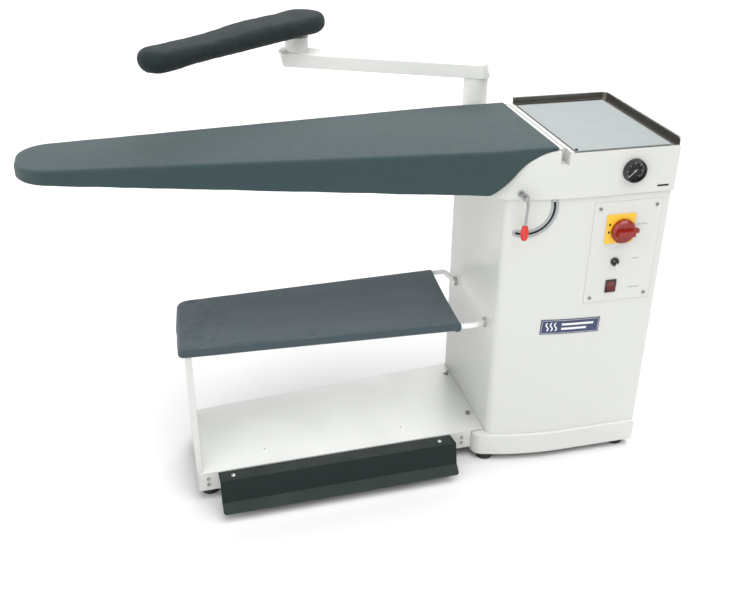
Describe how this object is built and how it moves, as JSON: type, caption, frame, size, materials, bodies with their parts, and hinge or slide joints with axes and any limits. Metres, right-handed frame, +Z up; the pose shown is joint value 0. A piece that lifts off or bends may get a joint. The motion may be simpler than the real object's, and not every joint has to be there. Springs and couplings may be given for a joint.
{
  "type": "vacuum ironing table with boiler cabinet",
  "caption": "Tapered vacuum ironing board on a white boiler cabinet with iron tray, front controls, swing-arm sleeve board, garment sling, lower shelf and foot pedal.",
  "frame": {"origin": "on the floor under the middle of the object's bounding box", "axes": "+X from the board's nose towards the cabinet, +Y away from the operator, +Z up"},
  "size_m": [1.492, 0.7776, 1.064],
  "materials": {
    "white_enamel": "satin powder coat",
    "pedal_paint": "dark grey-green paint",
    "stainless": "brushed stainless sheet",
    "tube_white": "white coated tube",
    "plated_steel": "zinc plated",
    "dark_chrome": "polished",
    "trim_grey": "smooth",
    "black_plastic": "fine matt",
    "lever_red": "moulded gloss",
    "switch_yellow": "moulded",
    "switch_red": "moulded",
    "rocker_red": "translucent dark red",
    "toggle_metal": "polished",
    "dial_face": "printed dial",
    "clear_lens": "clear",
    "plate_blue": "printed foil, blank",
    "board_cloth": "woven pressing cloth",
    "foam": "open foam",
    "sling_cloth": "woven cloth",
    "buck_cloth": "padded pressing cloth",
    "silicone": "silicone sheet",
    "foot_rubber": "matt rubber",
    "galvanised": "galvanised sheet",
    "boiler_steel": "welded steel",
    "element_steel": "heater sheath",
    "insulation": "mineral wool wrap",
    "valve_brass": "machined",
    "motor_paint": "painted",
    "relay_plastic": "moulded"
  },
  "bodies": {
    "cabinet": {"cabinet_shell": "white_enamel", "base_pan": "white_enamel", "rear_panel": "white_enamel", "head_cover": "white_enamel", "lower_shelf": "white_enamel", "side_leg": "white_enamel", "control_panel": "white_enamel", "arm_socket": "white_enamel", "iron_tray": "stainless", "board_pan": "stainless", "board_plate": "stainless", "garment_frame": "tube_white", "frame_ferrules": "plated_steel", "shelf_bolts": "plated_steel", "panel_screws": "plated_steel", "pedal_pin": "plated_steel", "pedal_brackets": "plated_steel", "selector_trim": "trim_grey", "selector_bush": "trim_grey", "toggle_nut": "black_plastic", "rocker_bezel": "black_plastic", "gauge_case": "black_plastic", "pedal_switch": "black_plastic", "switch_plate": "switch_yellow", "gauge_dial": "dial_face", "gauge_lens": "clear_lens", "nameplate": "plate_blue", "board_cover": "board_cloth", "board_pad": "foam", "garment_sling": "sling_cloth", "tray_mat": "silicone", "levelling_feet": "foot_rubber", "pedal_spring": "foot_rubber", "diverter_duct": "galvanised", "fan_housing": "galvanised", "suction_duct": "galvanised", "boiler_tank": "boiler_steel", "boiler_element": "element_steel", "board_heater": "element_steel", "boiler_jacket": "insulation", "safety_valve": "valve_brass", "steam_valve": "valve_brass", "cable_gland": "valve_brass", "fan_motor": "motor_paint", "contactor": "relay_plastic"},
    "arm": {"arm_post": "white_enamel", "arm_beam": "white_enamel"},
    "sleeve_board": {"buck_pan": "stainless", "buck_cover": "buck_cloth"},
    "selector": {"selector_shaft": "dark_chrome", "selector_knob": "lever_red", "diverter_flap": "galvanised"},
    "switch_knob": {"switch_handle": "switch_red"},
    "toggle": {"toggle_lever": "toggle_metal"},
    "rocker_button": {"rocker": "rocker_red"},
    "needle": {"gauge_needle": "plated_steel"},
    "pedal": {"pedal_plate": "pedal_paint", "pedal_rivets": "plated_steel"},
    "fan": {"fan_impeller": "galvanised"}
  },
  "joints": [
    {"name": "arm_swing", "type": "hinge", "parent": "cabinet", "child": "arm", "pos_m": [0.385, 0.10984, 0.64], "axis": [0, 0, 1], "range_deg": [-65, 60]},
    {"name": "sleeve_board_turn", "type": "hinge", "parent": "arm", "child": "sleeve_board", "pos_m": [-0.0525, 0.31184, 1], "axis": [0, 0, 1], "range_deg": [-120, 120]},
    {"name": "selector_turn", "type": "hinge", "parent": "cabinet", "child": "selector", "pos_m": [0.359, -0.25816, 0.768], "axis": [0, -1, 0], "range_deg": [0, 80]},
    {"name": "main_switch_turn", "type": "hinge", "parent": "cabinet", "child": "switch_knob", "pos_m": [0.621, -0.32416, 0.6585], "axis": [0, -1, 0], "range_deg": [0, 90]},
    {"name": "toggle_throw", "type": "hinge", "parent": "cabinet", "child": "toggle", "pos_m": [0.614, -0.32316, 0.574], "axis": [-1, 0, 0], "range_deg": [0, 24]},
    {"name": "rocker_throw", "type": "hinge", "parent": "cabinet", "child": "rocker_button", "pos_m": [0.612, -0.32516, 0.507], "axis": [1, 0, 0], "range_deg": [0, 14]},
    {"name": "gauge_needle_turn", "type": "hinge", "parent": "cabinet", "child": "needle", "pos_m": [0.63, -0.33316, 0.811], "axis": [0, 1, 0], "range_deg": [0, 270], "stiffness_Nm_per_rad": 0.0004},
    {"name": "pedal_press", "type": "hinge", "parent": "cabinet", "child": "pedal", "pos_m": [-0.07558, -0.21969, 0.052], "axis": [0.9997, 0.0239, 0], "range_deg": [0, 6], "stiffness_Nm_per_rad": 14, "springref_deg": -28.65, "deforming": ["pedal_spring"]},
    {"name": "fan_spin", "type": "hinge", "parent": "cabinet", "child": "fan", "pos_m": [0.426, -0.09816, 0.595], "axis": [0, 0, 1], "continuous": true}
  ]
}
